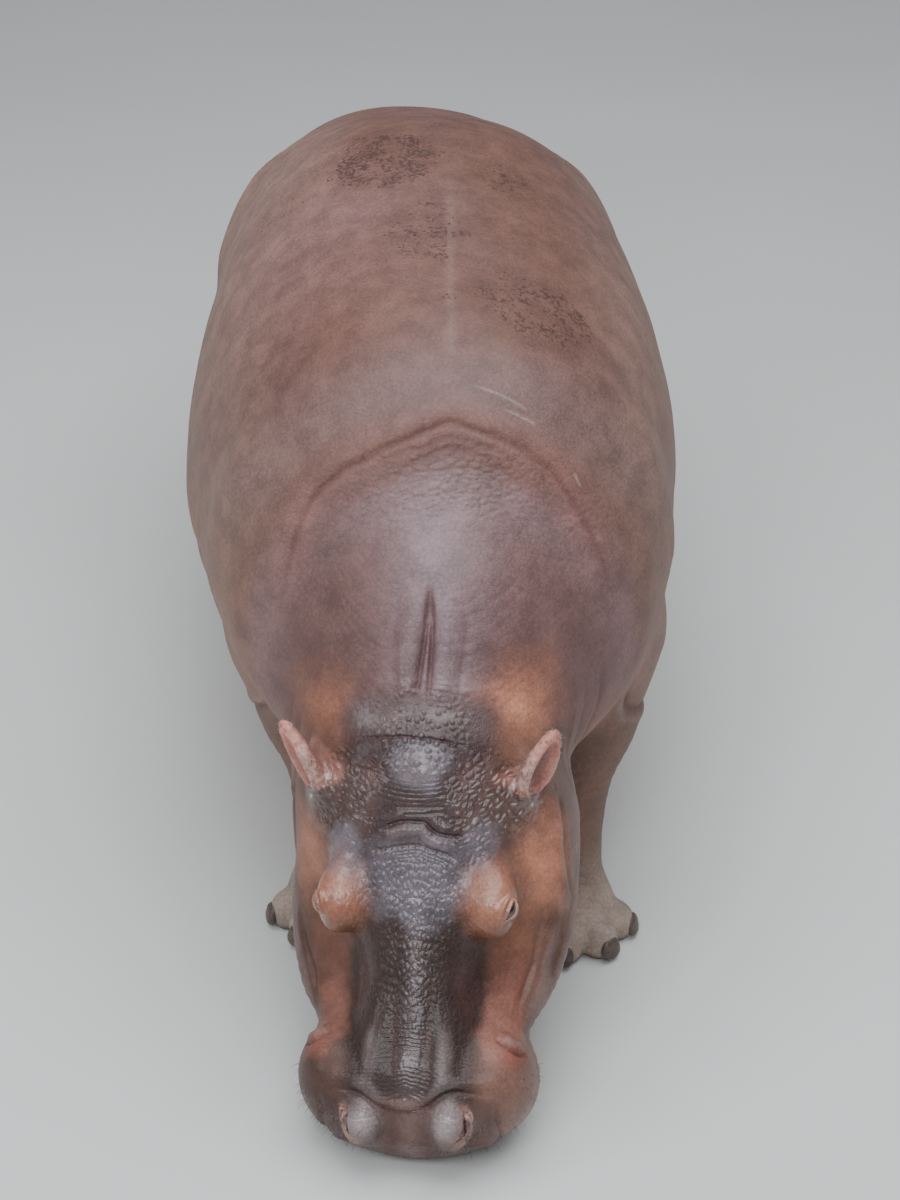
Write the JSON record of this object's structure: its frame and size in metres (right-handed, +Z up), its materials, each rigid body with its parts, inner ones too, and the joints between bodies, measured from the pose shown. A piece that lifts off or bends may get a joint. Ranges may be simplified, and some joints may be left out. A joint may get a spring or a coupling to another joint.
{
  "type": "hippopotamus",
  "caption": "Life-size still model of an adult hippopotamus standing with its head lowered, muzzle just above the ground and turned a little to its right.",
  "frame": {"origin": "bottom centre of the whole bounding box, on the ground under the belly", "axes": "+Z up, +Y from nose to tail, so the animal faces -Y, and +X to the animal's left"},
  "size_m": [1.0816, 3.08, 1.4132],
  "materials": {
    "skin": "bare hide, grey brown with pink at eyes, ears and lips, damp on head and neck",
    "eye": "wet, dark brown",
    "nail": "dull horn"
  },
  "bodies": {
    "root": {"ear_left": "skin", "ear_right": "skin", "eye_left": "eye", "eye_right": "eye", "fore_foot_left": "skin", "fore_foot_right": "skin", "fore_leg_left": "skin", "fore_leg_right": "skin", "head": "skin", "hind_foot_left": "skin", "hind_foot_right": "skin", "hind_leg_left": "skin", "hind_leg_right": "skin", "lower_jaw": "skin", "neck": "skin", "tail": "skin", "trunk": "skin", "fore_nail_left_1": "nail", "fore_nail_left_2": "nail", "fore_nail_left_3": "nail", "fore_nail_left_4": "nail", "fore_nail_right_1": "nail", "fore_nail_right_2": "nail", "fore_nail_right_3": "nail", "fore_nail_right_4": "nail", "hind_nail_left_1": "nail", "hind_nail_left_2": "nail", "hind_nail_left_3": "nail", "hind_nail_left_4": "nail", "hind_nail_right_1": "nail", "hind_nail_right_2": "nail", "hind_nail_right_3": "nail", "hind_nail_right_4": "nail"}
  },
  "joints": []
}
